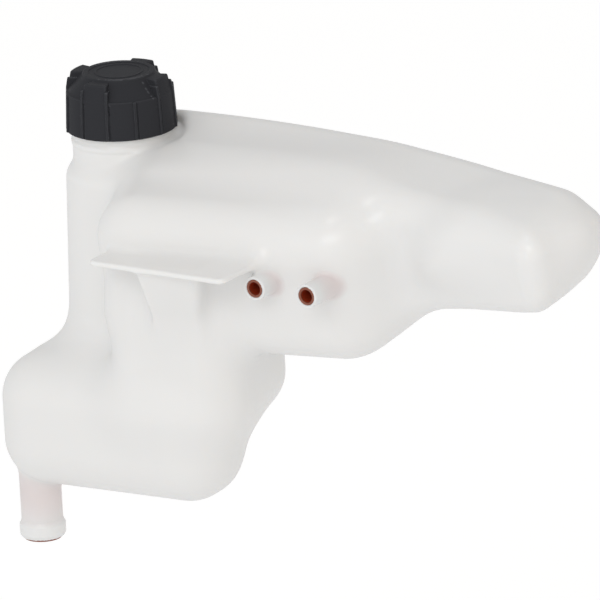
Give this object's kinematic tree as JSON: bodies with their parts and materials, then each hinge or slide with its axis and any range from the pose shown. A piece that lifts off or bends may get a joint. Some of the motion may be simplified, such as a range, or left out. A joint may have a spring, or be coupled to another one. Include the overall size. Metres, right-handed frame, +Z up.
{
  "type": "coolant expansion tank",
  "caption": "Blow-moulded coolant expansion tank: filler column with a screw cap, low leg with a hose spigot, long side chamber with a nose, vent nipples and a mounting ledge.",
  "frame": {"origin": "middle of the free flat underside of the ledge, left of the web", "axes": "+X runs along the tank from the filler to the nose, +Y from the ledge to the back wall, +Z up through the filler cap"},
  "size_m": [0.3399, 0.1495, 0.2384],
  "materials": {
    "bottle": "milky white polyolefin, slightly translucent, satin",
    "copper": "drawn copper tube, lightly tarnished",
    "cap": "black, fine-grained satin",
    "rubber": "smooth black",
    "insert": "dark grey, smooth",
    "valve_metal": "turned brass",
    "spring_steel": "drawn spring wire"
  },
  "bodies": {
    "bottle": {"tank": "bottle", "vent_sleeve_left": "copper", "vent_sleeve_right": "copper", "spigot_sleeve": "copper"},
    "insert": {"valve_housing": "insert", "housing_cover": "insert", "housing_seal": "rubber", "rim_gasket": "rubber", "pressure_spring": "spring_steel"},
    "cap": {"cap_shell": "cap"},
    "pressure_disc": {"pressure_plate": "valve_metal", "pressure_seal": "rubber", "vacuum_spring": "spring_steel"},
    "vacuum_pin": {"vacuum_valve": "valve_metal", "vacuum_clip": "valve_metal"}
  },
  "joints": [
    {"name": "cap_lift", "type": "slide", "parent": "bottle", "child": "insert", "axis": [0, 0, 1], "range_m": [0, 0.01]},
    {"name": "cap_turn", "type": "hinge", "parent": "insert", "child": "cap", "pos_m": [-0.048, 0.075, 0.044], "axis": [0, 0, 1], "range_deg": [0, 900]},
    {"name": "pressure_relief", "type": "slide", "parent": "insert", "child": "pressure_disc", "axis": [0, 0, 1], "range_m": [0, 0.003], "stiffness_N_per_m": 2000, "deforming": ["pressure_spring"]},
    {"name": "vacuum_relief", "type": "slide", "parent": "pressure_disc", "child": "vacuum_pin", "axis": [0, 0, -1], "range_m": [0, 0.002], "stiffness_N_per_m": 100, "springref_m": -0.0003, "deforming": ["vacuum_spring"]}
  ],
  "couplings": [
    {"joint": "cap_turn", "follows": "cap_lift", "rad_per_m": 1570.8}
  ]
}
